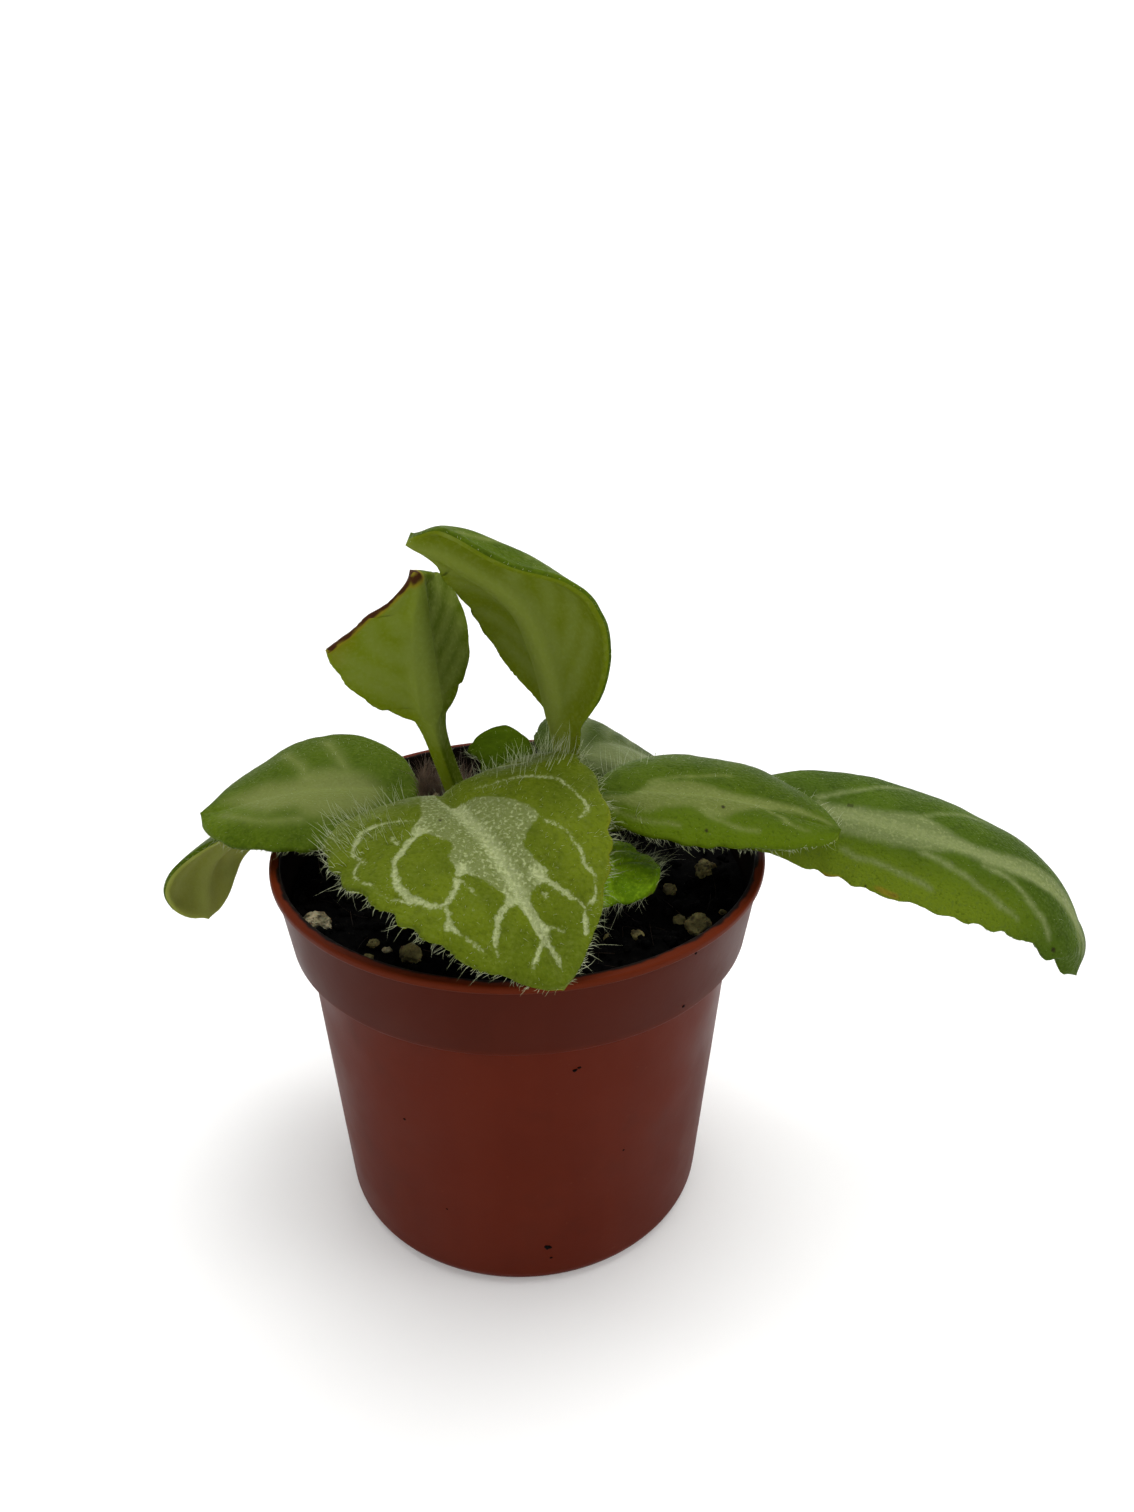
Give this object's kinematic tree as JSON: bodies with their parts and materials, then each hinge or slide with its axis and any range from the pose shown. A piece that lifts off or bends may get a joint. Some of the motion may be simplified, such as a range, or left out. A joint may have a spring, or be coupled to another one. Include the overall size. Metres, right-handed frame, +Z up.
{
  "type": "potted primulina",
  "caption": "Young primulina with hairy, silver-veined leaves growing from a short crown in a small moulded plastic nursery pot of dark potting mix with perlite.",
  "frame": {"origin": "centre of the pot's flat base, on the floor it stands on", "axes": "+Z up along the pot's axis, -Y towards the viewer, where the big front leaf hangs over the rim, +X towards the longest leaf"},
  "size_m": [0.1132, 0.0637, 0.0903],
  "materials": {
    "pot_plastic": "moulded, soft sheen",
    "potting_mix": "loose and rough",
    "crown": "hairy",
    "leaf": "fleshy, velvety",
    "perlite": "rough"
  },
  "bodies": {
    "root": {"pot": "pot_plastic", "soil": "potting_mix", "crown": "crown", "leaf_front": "leaf", "leaf_left": "leaf", "leaf_low_left": "leaf", "leaf_upright_left": "leaf", "leaf_upright_right": "leaf", "leaf_right": "leaf", "leaf_far_right": "leaf", "leaf_back": "leaf", "leaf_back_right": "leaf", "leaf_small": "leaf", "perlite_1": "perlite", "perlite_2": "perlite", "perlite_3": "perlite", "perlite_4": "perlite", "perlite_5": "perlite", "perlite_6": "perlite", "perlite_7": "perlite", "perlite_8": "perlite", "perlite_9": "perlite", "perlite_10": "perlite", "perlite_11": "perlite", "perlite_12": "perlite", "perlite_13": "perlite", "perlite_14": "perlite", "perlite_15": "perlite"}
  },
  "joints": []
}
